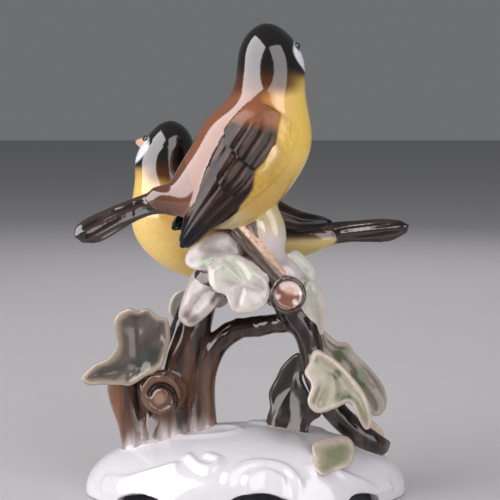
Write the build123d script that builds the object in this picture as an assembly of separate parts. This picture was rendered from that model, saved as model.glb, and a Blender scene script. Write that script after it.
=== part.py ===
from build123d import *
import os
from math import cos, sin, pi, radians

# Porcelain figurine: two titmice on an oak-branch arch over a hollow scalloped base.
# Millimetres. +Z is up, +X to the right of the show side, the show side faces -Y.
# The origin is on the table, in the middle of the footprint.
# Every cast or hand-formed piece is its own solid. Pieces are luted face to face:
# each one is cut to the surface of the pieces it is stuck on.

# Driving dimensions
BASE_LENGTH = 110.0        # oval base, end to end
BASE_DEPTH = 73.0          # oval base, front to back
DOME_HEIGHT = 23.0         # top of the white ground above the table
WALL = 3.6                 # thickness of a slip-cast wall
BODY_WALL = 3.2            # thickness of a bird's cast wall
HEAD_TOP = 160.0           # crown of the upper bird, the highest point
SCALLOP_WAVE = 0.025       # how far the base outline waves, as a share of its radius
SCALLOPS = 6               # waves and feet around the base
LEAF_THICKNESS = 2.3
WING_THICKNESS = 4.2
TAIL_THICKNESS = 3.0
LOFT_TURN = 48.0           # degrees that one loft may turn through
RIM_POINTS = 10            # spline points round a leaf, wing or tail section
HEEL = 0.35                # how far a leaf starts behind its first section, as a share of the first step
OUTLINE_POINTS = 36        # spline points round the base


# ---------------------------------------------------------------- shape makers

def bent_loft(pairs, start=None, end=None):
    """Loft (section, direction) pairs along a bent axis, between optional end points.

    Where the axis has turned by more than LOFT_TURN, a new loft starts from the last section."""
    runs = []
    run = []
    for section, way in pairs:
        run.append((section, way))
        last = section is pairs[-1][0] and end is None
        if run[0][1].get_angle(way) > LOFT_TURN and not last:
            runs.append([face for face, _ in run])
            run = [(section, way)]
    runs.append([face for face, _ in run])
    if start is not None:
        runs[0].insert(0, Vertex(*start))
    if end is not None:
        runs[-1].append(Vertex(*end))
    body = loft(runs[0])
    for sections in runs[1:]:
        body += loft(sections)
    return body


def limb(stations):
    """A branch: round sections (x, y, z, radius) along a bent axis."""
    points = [Vector(*s[:3]) for s in stations]
    pairs = []
    for i, point in enumerate(points):
        way = (points[min(i + 1, len(points) - 1)] - points[max(i - 1, 0)]).normalized()
        pairs.append(((Plane(origin=point, z_dir=way) * Circle(stations[i][3])).face(), way))
    return bent_loft(pairs)


def bird_body(crown, sections, vent_end):
    """Head and body in one: ellipses (x, y, z, half width, half depth, tilt in degrees).

    The width lies in the XZ plane at the given tilt and the depth runs along Y."""
    faces = []
    for x, y, z, half_width, half_depth, tilt in sections:
        across = Vector(cos(radians(tilt)), 0, sin(radians(tilt)))
        plane = Plane(origin=(x, y, z), x_dir=across, z_dir=across.cross(Vector(0, 1, 0)))
        faces.append((plane * Ellipse(half_width, half_depth)).face())
    return loft([Vertex(*crown)] + faces + [Vertex(*vent_end)])


def shrink(sections, wall):
    """The same bird sections, a wall thickness smaller all round, for its casting hollow."""
    return [(x, y, z, a - wall, b - wall, tilt) for x, y, z, a, b, tilt in sections
            if a > 2.5 * wall]


def blade(stations, facing, thickness, cup=0.0):
    """A leaf, wing or tail: thin crescents (x, y, z, half width) lofted along a midrib.

    facing is the way its upper face looks; cup is how far its edges lie back from it."""
    points = [Vector(*s[:3]) for s in stations]
    facing = Vector(*facing).normalized()
    pairs = []
    for i, point in enumerate(points[:-1]):
        before = points[max(i - 1, 0)]
        after = points[i + 1]
        along = (after - before).normalized()
        across = along.cross(facing).normalized()
        up = across.cross(along)
        half_width = stations[i][3]
        half_thick = thickness / 2
        rim = []
        for k in range(RIM_POINTS):
            angle = 2 * pi * k / RIM_POINTS
            sideways = cos(angle)
            lift = half_thick * sin(angle) - cup * sideways ** 2
            rim.append(point + across * (half_width * sideways) + up * lift)
        pairs.append((make_face(Spline(*rim, periodic=True)).face(), along))
    heel = points[0] - (points[1] - points[0]) * HEEL
    return bent_loft(pairs, start=heel, end=points[-1])


def beak(root, tip, radius):
    """A short pointed beak, a little deeper than wide."""
    root, tip = Vector(*root), Vector(*tip)
    way = (tip - root).normalized()
    faces = []
    for share, size in ((0.0, 1.0), (0.45, 0.78), (0.8, 0.42)):
        plane = Plane(origin=root + (tip - root) * share, x_dir=(-way.Y, way.X, 0), z_dir=way)
        faces.append((plane * Ellipse(radius * size * 0.85, radius * size)).face())
    return loft(faces + [Vertex(*tip)])


def biggest(shape):
    """The main solid of a cut piece: crumbs on the far side of the host fall away."""
    return max(shape.solids(), key=lambda solid: solid.volume)


def lute(piece, hosts):
    """Cut a piece to the surfaces of the pieces that it is stuck on."""
    for host in hosts:
        if piece.bounding_box().overlaps(host.bounding_box()):
            piece = biggest(piece - host)
    return piece


# ---------------------------------------------------------------- the base

def base_outline(z, share):
    """The waved oval of the base at height z, as a share of its full size."""
    points = []
    for k in range(OUTLINE_POINTS):
        angle = 2 * pi * k / OUTLINE_POINTS
        wave = 1 + SCALLOP_WAVE * share * cos(SCALLOPS * angle)
        points.append((BASE_LENGTH / 2 * share * wave / (1 + SCALLOP_WAVE) * cos(angle),
                       BASE_DEPTH / 2 * share * wave / (1 - SCALLOP_WAVE) * sin(angle), z))
    return make_face(Spline(*points, periodic=True))


def dome(top, shrink_by):
    """A solid dome with the base's outline, shrunk inwards for the hollow."""
    faces = []
    for level in (0.0, 0.2, 0.4, 0.6, 0.78, 0.9, 0.97, 1.0):
        share = (1 - level ** 2.4) ** 0.5 if level < 1 else 0.1
        share = max(share, 0.1) - shrink_by / (BASE_DEPTH / 2)
        if share > 0.05:
            faces.append(base_outline(top * level, share))
    return loft(faces)


def scallop(x, y, half_width, height):
    """An arch cut through the rim of the base, which leaves a foot on each side of it."""
    outward = Vector(x / BASE_LENGTH ** 2, y / BASE_DEPTH ** 2, 0).normalized()
    start = Vector(x, y, 0) - outward * 9
    plane = Plane(origin=start, x_dir=(-outward.Y, outward.X, 0), z_dir=outward)
    return extrude(plane * Ellipse(half_width, height), amount=16)


ground = dome(DOME_HEIGHT, 0.0)
base_shell = ground - dome(DOME_HEIGHT - WALL, WALL)
SCALLOP_CUTS = ((4.5, -35, 13.5, 8.0), (-33, -27, 12.0, 6.0), (38, -24, 9.0, 6.0),
                (-4.5, 35, 13.5, 8.0), (-35, 25, 11.0, 6.0), (36, 26, 11.0, 6.0))
for cut in SCALLOP_CUTS:
    base_shell -= scallop(*cut)

# ---------------------------------------------------------------- the birds

UPPER_SECTIONS = ((8.1, 1.2, 159.2, 3.6, 3.5, -6), (8.3, 1, 156.6, 7, 6.8, -6),
                  (8.7, 0, 148.6, 11.1, 10.7, -6), (8.4, -1, 140, 11.8, 11.2, -5),
                  (7.5, -3.5, 133.5, 13.6, 12.3, -7), (4.9, -6.5, 124.5, 17.8, 13.4, -14),
                  (-0.6, -9, 113.7, 18.1, 13.5, -22), (-7.4, -11, 105.2, 16.4, 12.3, -31),
                  (-15, -13, 100.6, 12.4, 9.6, -44), (-19.5, -14, 100.2, 9.4, 7.6, -50),
                  (-24.5, -15, 101.2, 6.6, 5.5, -54), (-29, -16, 101.6, 4.2, 3.6, -56))
upper_body = bird_body((8, 1.5, HEAD_TOP), UPPER_SECTIONS, (-32, -17, 101.9))

LOWER_SECTIONS = ((-28.3, 24, 125.7, 3.3, 3.2, 18), (-28.4, 24, 123.4, 6.4, 6.2, 18),
                  (-28.5, 24, 116.2, 10.6, 10.2, 16), (-28.1, 23.2, 108.2, 11.3, 10.7, 14),
                  (-26.6, 22.4, 101.4, 14.2, 12.2, 17),
                  (-22.6, 21.5, 94.8, 18.2, 13, 25), (-13, 20, 87.8, 19.7, 13, 38),
                  (0, 18, 83.6, 16.8, 11.8, 50), (13, 15.2, 84.6, 10.8, 8.6, 62), (24, 12, 86.2, 6, 5, 70))
lower_body = bird_body((-28.3, 24, 126.4), LOWER_SECTIONS, (33, 10, 87))

upper_hollow = bird_body((8.3, 0.5, 153), shrink(UPPER_SECTIONS, BODY_WALL), (-20, -14, 100.5))
lower_hollow = bird_body((-28.4, 24, 121), shrink(LOWER_SECTIONS, BODY_WALL), (19, 13.5, 85.5))

upper_wing_right = blade(((9.5, -17.5, 128, 9.5), (5.8, -19.5, 122.5, 11), (2, -21.5, 116.5, 11.2),
                          (-3, -23.3, 110, 9.8), (-8.6, -23.6, 103, 7.6), (-13.6, -22.4, 97, 5.6),
                          (-18, -20.4, 91, 3.8), (-21.5, -18.5, 86.3, 0)), (0.1, -1, 0.15), WING_THICKNESS, 2.0)
upper_wing_left = blade(((8.5, 7.5, 128, 9.5), (4.8, 8, 122.5, 11), (1, 6.5, 116.5, 11.2),
                         (-4, 4.5, 110, 9.8), (-10, 1, 103, 7.6), (-16, -3, 98, 5.2),
                         (-21, -7, 94.5, 3.2), (-24.5, -9.5, 91.5, 0)), (0.1, 1, 0.2), WING_THICKNESS, 2.0)
upper_tail = blade(((-23, -14.8, 101.8, 5), (-28, -16, 101.6, 4.4), (-34.7, -17.3, 99.8, 4.0),
                    (-41.7, -19, 96.8, 4.4), (-48.5, -20.8, 93.4, 4.9), (-53.6, -22, 91.5, 3.4),
                    (-56, -22.5, 91, 0)), (-0.15, -1, 0.45), TAIL_THICKNESS, 0.8)

lower_wing_left = blade(((-16, 6.5, 108, 8), (-9, 5, 102.5, 9.2), (0, 4.2, 98, 8.8), (9, 4, 94.6, 6.8),
                         (18.7, 4.3, 92.6, 4.2), (25.5, 4.8, 92.6, 2.4), (30, 5, 93, 0)),
                        (0, -1, 0.25), WING_THICKNESS, 2.0)
lower_wing_right = blade(((-14, 33.8, 106, 8), (-8, 33, 101, 9.2), (0, 30.5, 96.5, 8.8),
                          (8, 27.1, 93.4, 6.8), (17, 22.5, 92, 4.4), (24.5, 18.5, 92.2, 2.6),
                          (29.5, 15.5, 92.5, 0)),
                         (0.2, 1, 0.25), WING_THICKNESS, 2.0)
lower_tail = blade(((22, 12.5, 87, 4.6), (27, 11, 87.8, 4.2), (33, 9.5, 89, 3.9),
                    (39, 8, 89.5, 4.0), (45.5, 6.6, 89.9, 4.2), (51, 5.6, 90.3, 3.5),
                    (54.3, 5.1, 91, 2.2), (56, 5, 91.6, 0)),
                   (0, -1, 0.35), TAIL_THICKNESS, 0.8)

upper_beak = beak((14.4, 8.6, 148.2), (18.6, 14.6, 147.4), 2.6)
lower_beak = beak((-34.4, 30.4, 118.4), (-39.6, 35.6, 118.9), 2.5)

upper_leg_right = limb(((6, -11, 99, 4.5), (8, -12, 93, 5.0), (9, -12.5, 88.5, 4.6),
                        (9.5, -11, 83.5, 4.0), (12.5, -9, 78.5, 4.2), (15.5, -8, 73.5, 4.2)))
upper_leg_left = limb(((1, -1, 99, 4.2), (2, 2, 92, 4.2), (3, 3, 87, 3.6), (3, 2, 82.5, 3.4)))
lower_legs = limb(((-13, 18, 84, 6.5), (-12, 14, 76, 5.5), (-10, 9, 70, 4.5), (-10, 4, 66, 4.2)))

# ---------------------------------------------------------------- the tree

trunk = limb(((-27, 1, 12, 11), (-26.5, 1, 22, 9.6), (-25.8, 0.5, 34, 8.4), (-22.8, 0, 45, 7.6),
              (-19, 0, 55, 7), (-15.5, 0.5, 66, 6), (-10, 2, 75, 5.4), (-3, 2, 82, 5), (2, 0, 87, 4.4)))
left_stub = limb(((-36.3, -2, 12, 6.2), (-37.3, -2, 19, 5.5), (-39.4, -2, 27, 5.2),
                  (-41.6, -2, 35.5, 5.5), (-41.6, -3, 41.5, 4.6)))
trunk_knot = limb(((-27, -3, 36, 7.6), (-28.2, -9.5, 36, 7), (-28.6, -12.5, 36, 6.6)))
KNOT_GROOVE_PLANE = Plane(origin=(-28.6, -12.8, 35.7), z_dir=(0, -1, 0))
trunk_knot -= KNOT_GROOVE_PLANE * Torus(3.9, 1.1)
arch_branch = limb(((-15, 0, 12, 6.4), (-15, 0, 24, 5.4), (-14.8, 0, 36, 4.5),
                    (-13.2, 0, 45, 4.2), (-8.8, -0.5, 52.3, 3.9), (-1.8, -1, 57, 3.6),
                    (6.7, -2.5, 58.2, 3.4), (14, -5, 59.5, 3.4), (19, -7, 59.5, 3.2)))
fall_branch = limb(((11, -5, 72, 5), (14.5, -7, 66, 4.8), (19, -7, 59, 4.5), (22, -7, 51, 3.9),
                    (22.8, -7, 44, 3.6), (25.5, -6.6, 36.5, 3.7), (31, -6, 28.8, 4.1), (37, -5.8, 22.8, 4.1),
                    (43.4, -5, 18.4, 3.5), (48.2, -4, 15.9, 2.6)))
cut_stub = limb(((13.6, -6, 69.3, 6.2), (14.1, -14, 70.1, 6.2), (14.1, -18.5, 70.7, 6.1),
                 (14.1, -20, 70.9, 5.6)))
CUT_FACE_PLANE = Plane(origin=(14.1, -20, 70.9), z_dir=(0, -1, 0.13))
cut_stub -= CUT_FACE_PLANE * Pos(0, 0, 0.2) * Cylinder(4.5, 1.8)
perch_twig = limb(((-3, -13, 92, 2.6), (0.4, -14.5, 88.6, 2.8), (5.8, -16, 82.4, 2.9), (11.2, -16, 76, 3.0)))
perch_crown = limb(((-9, 0, 74, 6.5), (-3, -3, 80, 8), (2, -6, 86, 8.4), (4, -8, 93, 7.4), (4, -8.5, 99, 6)))
crown_bridge = limb(((-4, -2, 76, 6), (4, -4, 74, 6.2), (11, -5.5, 71, 6)))
rear_limb = limb(((-9, 3, 72, 5.6), (-5, 9, 75.5, 5.4), (-1, 14, 79.5, 5), (2, 17, 84, 4.4)))

# ---------------------------------------------------------------- the leaves

leaf_left = blade(((-32.5, -6, 41, 5), (-33, -8.6, 46.5, 7.4), (-34, -10, 53, 9.2), (-35, -9.4, 59, 9),
                   (-35.6, -8, 63, 6), (-36, -7, 65, 0)), (0, -1, 0.2), LEAF_THICKNESS, 1.0)
leaf_left_lobe = blade(((-35, -9.2, 43.5, 5.4), (-41, -10.8, 43.6, 4.6), (-47.5, -11, 43.2, 3.6),
                        (-52.5, -10, 42.3, 2.4), (-55, -9, 41.8, 0)), (0, -1, 0.5), LEAF_THICKNESS, 1.0)
leaf_drooping = blade(((-8.5, -11.5, 77.5, 4), (-12, -13.5, 73.5, 5), (-15.6, -14, 68.5, 5),
                       (-18.8, -13, 63.6, 3.8), (-21.4, -12, 59.6, 0)), (-0.35, -1, 0.4), LEAF_THICKNESS, 1.0)
leaf_centre = blade(((11.5, -15, 76.6, 4), (5.6, -17.6, 75.8, 8), (-1.2, -19.4, 74.6, 9.8),
                     (-7.4, -19.6, 74, 7.6), (-11.8, -19, 73.8, 3.6), (-14, -18.4, 73.8, 0)),
                    (0, -1, 0.35), LEAF_THICKNESS, 1.0)
leaf_under_wing = blade(((-4.4, -12.5, 85.6, 4), (-9.6, -13.6, 86, 5.6), (-14.6, -13.4, 84.6, 5.4),
                         (-18.2, -12.6, 82, 3.4), (-20.2, -12, 80, 0)), (-0.2, -1, 0.5), LEAF_THICKNESS, 1.0)
leaf_right_top = blade(((11.5, -4.5, 80.5, 4.4), (15.6, -4.2, 80, 6), (19.4, -3, 77.6, 6),
                        (22.2, -2, 74.2, 4.2), (24, -1.4, 71, 0)),
                       (0.3, -1, 0.6), LEAF_THICKNESS, 1.0)
leaf_right_mid = blade(((18.5, -8, 71, 4.4), (22, -7.5, 67, 5.8), (24.3, -6.6, 62, 4.8), (25, -6, 58, 2.6),
                        (25, -6, 55.6, 0)), (0.5, -1, 0.3), LEAF_THICKNESS, 1.0)
leaf_right_front = blade(((26, -10.8, 48.6, 5), (28.4, -12.8, 43.8, 9), (31.6, -14.2, 38.4, 10.4),
                          (36, -14.4, 33, 7.2), (39.4, -13.8, 28.4, 3.4), (41.2, -13.2, 24.4, 0)),
                         (0.25, -1, 0.3), LEAF_THICKNESS, 1.0)
leaf_right_rear = blade(((25.6, -4, 54.6, 2.6), (32, -3.4, 49, 4.8), (38.8, -3.4, 42, 6),
                         (43.8, -3.8, 35.6, 5.4), (45.6, -4.2, 30.6, 3.4), (45.4, -4.4, 27.6, 0)),
                        (0.5, -1, 0.4), LEAF_THICKNESS, 1.0)
leaf_arch_inner = blade(((18.4, -1, 46.6, 3), (16.8, 0.6, 41.4, 6.6), (16.2, 0, 35, 8.8), (16.6, -1, 28.4, 9.4),
                         (17, -1.6, 21.6, 9), (17, -2, 14, 0)), (-0.3, -1, 0), LEAF_THICKNESS, 1.0)
leaf_branch_tip = blade(((38, 0, 25.6, 2.6), (42.4, 1, 23.4, 3.4), (45.6, 1.6, 21, 2.8), (48, 2, 18.6, 0)),
                        (0.4, -0.5, 1), LEAF_THICKNESS, 0.8)
base_leaf = blade(((35.8, -16.6, 19.2, 3.6), (31.8, -19, 18.4, 6), (28, -22.6, 16.9, 6.2), (25.4, -26, 14.6, 3.6),
                   (24.4, -28, 12.6, 0)), (0.2, -0.7, 1), LEAF_THICKNESS, -0.6)
leaf_rear = blade(((-14, 6, 68, 3.4), (-17.6, 8.6, 63, 6), (-20, 9.6, 57, 7), (-20.6, 9.4, 50.6, 5.4),
                   (-20, 8.6, 45.6, 3), (-19.6, 8, 42.6, 0)), (-0.1, 1, 0.2), LEAF_THICKNESS, 1.0)

# ---------------------------------------------------------------- assembly

HOSTS = [("base_shell", ground), ("upper_body", upper_body), ("lower_body", lower_body)]
STUCK_ON = [("trunk", trunk), ("arch_branch", arch_branch), ("left_stub", left_stub),
            ("trunk_knot", trunk_knot), ("fall_branch", fall_branch),
            ("leaf_right_front", leaf_right_front), ("leaf_branch_tip", leaf_branch_tip),
            ("cut_stub", cut_stub), ("perch_crown", perch_crown), ("crown_bridge", crown_bridge),
            ("rear_limb", rear_limb), ("perch_twig", perch_twig),
            ("upper_leg_right", upper_leg_right), ("upper_leg_left", upper_leg_left),
            ("lower_legs", lower_legs),
            ("upper_wing_right", upper_wing_right), ("upper_wing_left", upper_wing_left),
            ("upper_tail", upper_tail), ("upper_beak", upper_beak),
            ("lower_wing_left", lower_wing_left), ("lower_wing_right", lower_wing_right),
            ("lower_tail", lower_tail), ("lower_beak", lower_beak),
            ("leaf_left", leaf_left + leaf_left_lobe), ("leaf_drooping", leaf_drooping),
            ("leaf_centre", leaf_centre), ("leaf_under_wing", leaf_under_wing),
            ("leaf_right_top", leaf_right_top), ("leaf_right_mid", leaf_right_mid),
            ("leaf_right_rear", leaf_right_rear), ("leaf_arch_inner", leaf_arch_inner),
            ("base_leaf", base_leaf), ("leaf_rear", leaf_rear)]

# Two leaves only graze the branch: they are pressed into its soft surface, uncut.
PRESSED_ON = ("leaf_right_front", "leaf_branch_tip")

placed = list(HOSTS)
nodes = {}
for name, piece in STUCK_ON:
    cut_piece = piece if name in PRESSED_ON else lute(piece, [host for _, host in placed])
    placed.append((name, cut_piece))
    nodes[name] = cut_piece

nodes["base_shell"] = base_shell
nodes["upper_body"] = upper_body - upper_hollow
nodes["lower_body"] = lower_body - lower_hollow

os.makedirs("parts", exist_ok=True)
for name, solid in nodes.items():
    export_step(solid, f"parts/{name}.step")
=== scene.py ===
import math

import bpy
import numpy as np
import openvdb
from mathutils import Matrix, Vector


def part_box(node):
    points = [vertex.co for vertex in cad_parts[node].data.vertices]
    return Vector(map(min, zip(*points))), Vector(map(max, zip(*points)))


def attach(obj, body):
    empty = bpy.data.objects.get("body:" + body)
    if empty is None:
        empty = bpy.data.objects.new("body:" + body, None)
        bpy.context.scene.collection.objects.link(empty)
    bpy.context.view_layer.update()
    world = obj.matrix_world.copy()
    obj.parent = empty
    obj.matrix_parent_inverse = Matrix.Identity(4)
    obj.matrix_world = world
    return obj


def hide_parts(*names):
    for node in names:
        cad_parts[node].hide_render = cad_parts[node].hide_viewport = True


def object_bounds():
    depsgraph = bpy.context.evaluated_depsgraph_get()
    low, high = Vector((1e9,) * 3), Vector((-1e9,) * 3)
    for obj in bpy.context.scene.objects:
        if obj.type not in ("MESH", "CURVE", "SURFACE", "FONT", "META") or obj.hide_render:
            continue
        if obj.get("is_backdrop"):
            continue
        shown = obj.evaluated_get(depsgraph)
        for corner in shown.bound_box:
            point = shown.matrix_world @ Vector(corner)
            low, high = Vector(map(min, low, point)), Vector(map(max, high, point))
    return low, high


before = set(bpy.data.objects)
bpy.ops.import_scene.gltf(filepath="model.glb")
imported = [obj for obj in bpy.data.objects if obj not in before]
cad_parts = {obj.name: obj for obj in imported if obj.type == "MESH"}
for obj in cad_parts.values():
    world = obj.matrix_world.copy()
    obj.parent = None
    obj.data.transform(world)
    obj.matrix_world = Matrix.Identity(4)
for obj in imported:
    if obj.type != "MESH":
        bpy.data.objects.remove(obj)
cad_low, cad_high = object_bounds()

# The whole figurine is sculpted as one glazed skin over the CAD pieces and then parted again
# into one closed mesh per piece, so that every luted seam is softly filled as on the real thing.
# Shapes and paint are worked out in millimetres; meshes are written in metres.

MM = 1000.0
VOXEL = 0.42    # size of a sculpting cell
BAND = 5                               # cells of exact distance on each side of a surface
FILLET = 1.5                           # how softly pieces run into each other
SEAM_OVERLAP = 0.12                    # how far neighbouring pieces reach into each other
RELIEF_REACH = 1.7                     # relief is added only this near a surface
CLAY_BLEND = 2.0                       # how softly an added lump runs into its piece

NODES = sorted(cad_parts)
LOW, HIGH = {}, {}
for node in NODES:
    low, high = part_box(node)
    LOW[node], HIGH[node] = np.array(low) * MM, np.array(high) * MM
WHOLE_LOW = np.min([LOW[n] for n in NODES], axis=0)
WHOLE_HIGH = np.max([HIGH[n] for n in NODES], axis=0)


def at(node, fx, fy, fz):
    """A point given as shares of a node's box."""
    return LOW[node] + np.array((fx, fy, fz)) * (HIGH[node] - LOW[node])


# ---------------------------------------------------------------- small maths

def smooth(low, high, value):
    """0 below low, 1 above high, and a soft step between them; the other way if low > high."""
    t = np.clip((value - low) / (high - low), 0.0, 1.0)
    return t * t * (3 - 2 * t)


def noise(p, size, seed):
    """Smooth random values from -1 to 1 over points p; size is the scale in mm along x, y and z."""
    lattice = np.random.default_rng(seed).uniform(-1, 1, (32, 32, 32))
    q = p / np.broadcast_to(np.array(size, float), 3) + 1000.0
    i = np.floor(q).astype(int)
    f = q - i
    f = f * f * (3 - 2 * f)
    value = np.zeros(len(p))
    for corner in range(8):
        step = np.array((corner & 1, corner >> 1 & 1, corner >> 2 & 1))
        weight = np.prod(np.where(step == 1, f, 1 - f), axis=1)
        j = (i + step) % 32
        value += weight * lattice[j[:, 0], j[:, 1], j[:, 2]]
    return value


def blob(p, centre, radii):
    """1 at the centre of an ellipsoid, falling softly to 0 at its skin."""
    r = np.linalg.norm((p - centre) / np.array(radii), axis=1)
    return 1 - smooth(0.55, 1.0, r)


def mix(a, b, share):
    """From colour a to colour b; share is one number or one for each point."""
    share = np.broadcast_to(share, len(a))[:, None]
    return a * (1 - share) + b * share


def srgb(r, g, b):
    """A colour given as 0-255 display values, as linear light."""
    c = np.array((r, g, b)) / 255.0
    return np.where(c <= 0.04045, c / 12.92, ((c + 0.055) / 1.055) ** 2.4)


def flat(p, colour):
    return np.repeat(np.asarray(colour)[None, :], len(p), axis=0)


def along_axis(p, line, widths):
    """Place points against a bent axis in the XZ plane.

    Returns how far along it each point is (0 to 1) and how far to its left (1 at the edge)."""
    line = np.asarray(line, float)
    steps = np.diff(line, axis=0)
    lengths = np.linalg.norm(steps, axis=1)
    reach = np.concatenate(([0.0], np.cumsum(lengths)))
    best = np.full(len(p), 1e9)
    share, side = np.zeros(len(p)), np.zeros(len(p))
    xz = p[:, (0, 2)]
    for k, step in enumerate(steps):
        unit = step / lengths[k]
        rel = xz - line[k]
        t = np.clip(rel @ unit, 0, lengths[k])
        offset = rel - t[:, None] * unit
        distance = np.linalg.norm(offset, axis=1)
        left = rel[:, 0] * -unit[1] + rel[:, 1] * unit[0]
        nearer = distance < best - 1e-9
        best = np.where(nearer, distance, best)
        share = np.where(nearer, (reach[k] + t) / reach[-1], share)
        side = np.where(nearer, left, side)
    width = np.interp(share, reach / reach[-1], widths)
    return share, side / width


# ---------------------------------------------------------------- leaf outlines

def bend(a, b, c, d, steps):
    """Points of a smooth curve from b almost to c, where a and d are the points beside them."""
    return [0.5 * (2 * b + (c - a) * t + (2 * a - 5 * b + 4 * c - d) * t ** 2
                   + (3 * b - a - 3 * c + d) * t ** 3) for t in np.arange(steps) / steps]


def closed_curve(points, steps=5):
    """A smooth closed outline through the points."""
    pts = np.asarray(points, float)
    out = []
    for k in range(len(pts)):
        out += bend(*(pts[(k + j) % len(pts)] for j in (-1, 0, 1, 2)), steps)
    return np.array(out)


def open_curve(points, steps=6):
    """A smooth line through the points, from the first to the last."""
    pts = np.asarray(points, float)
    pts = np.vstack((2 * pts[0] - pts[1], pts, 2 * pts[-1] - pts[-2]))
    out = []
    for a, b, c, d in zip(pts, pts[1:], pts[2:], pts[3:]):
        out += bend(a, b, c, d, steps)
    return np.array(out + [pts[-2]])


def line_distance(places, line):
    """Distance in a plane to a bent line."""
    nearest = np.full(len(places), 1e9)
    for a, b in zip(line, line[1:]):
        edge = b - a
        t = np.clip((places - a) @ edge / (edge @ edge), 0, 1)
        nearest = np.minimum(nearest, np.linalg.norm(places - a - t[:, None] * edge, axis=1))
    return nearest


def outline_distance(xz, outline):
    """Distance in the XZ plane to a closed outline, negative inside."""
    nearest = np.full(len(xz), 1e9)
    inside = np.zeros(len(xz), bool)
    for a, b in zip(outline, np.roll(outline, -1, axis=0)):
        edge = b - a
        rel = xz - a
        t = np.clip(rel @ edge / (edge @ edge + 1e-12), 0, 1)
        nearest = np.minimum(nearest, np.linalg.norm(rel - t[:, None] * edge, axis=1))
        crosses = (a[1] > xz[:, 1]) != (b[1] > xz[:, 1])
        with np.errstate(divide="ignore", invalid="ignore"):
            at_x = a[0] + (xz[:, 1] - a[1]) * edge[0] / edge[1]
        inside ^= crosses & (xz[:, 0] < at_x)
    return np.where(inside, -nearest, nearest)


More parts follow.
